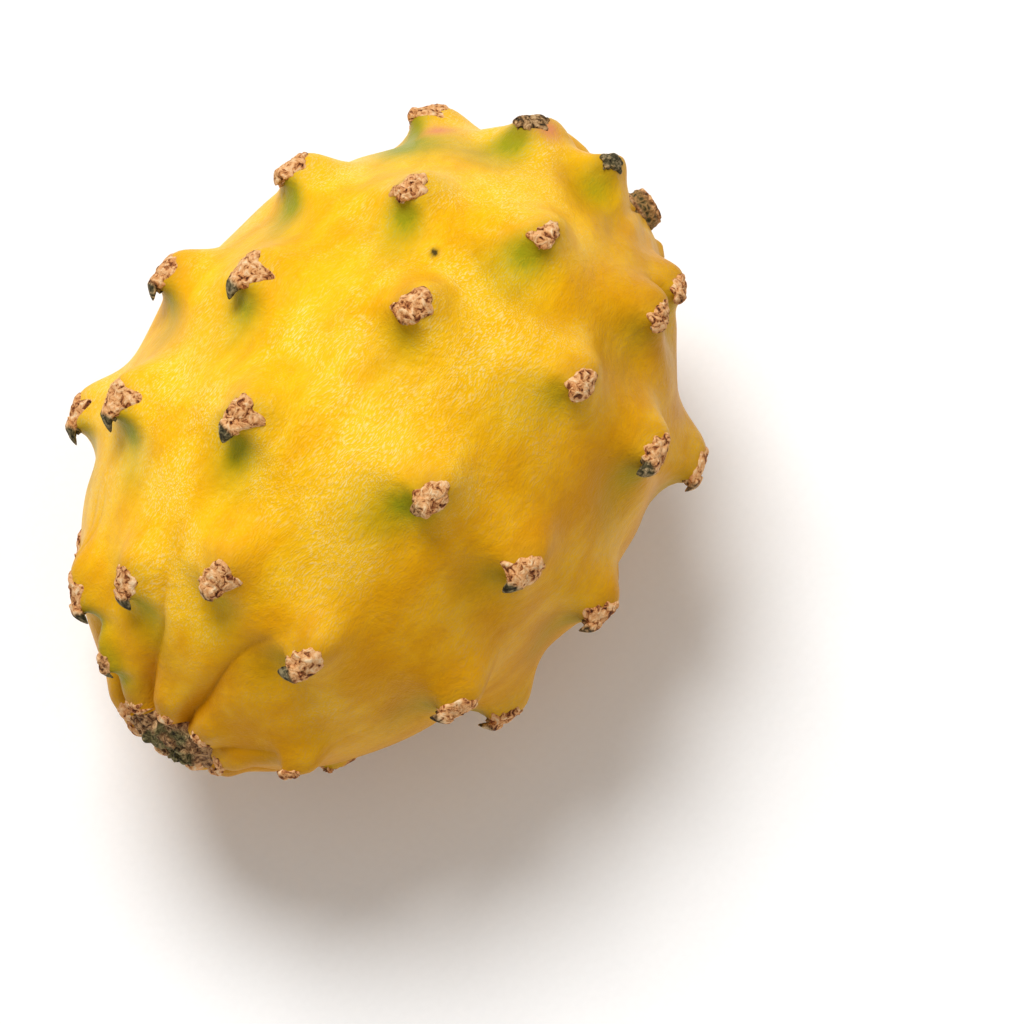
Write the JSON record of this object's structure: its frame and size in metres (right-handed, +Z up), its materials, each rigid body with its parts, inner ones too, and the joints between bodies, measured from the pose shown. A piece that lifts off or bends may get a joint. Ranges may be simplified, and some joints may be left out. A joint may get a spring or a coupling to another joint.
{
  "type": "dragon fruit",
  "caption": "Whole yellow dragon fruit lying on its side: ovoid body with hooked shield-shaped tubercles, folds into a flower scar, and a short stem stub.",
  "frame": {"origin": "on the table under the middle of the fruit's box, the table being the plane of the three flats it lies on", "axes": "+X from the flower scar end to the stem end, level; +Z up; +Y to the left seen from the flower end towards the stem end"},
  "size_m": [0.1076, 0.0802, 0.0807],
  "materials": {
    "rind": "waxy satin golden yellow rind, greener under the hooks, with dry tan cork on each hook, a mottled brown flower scar and a dark stem stub"
  },
  "bodies": {
    "root": {"dragon_fruit": "rind"}
  },
  "joints": []
}
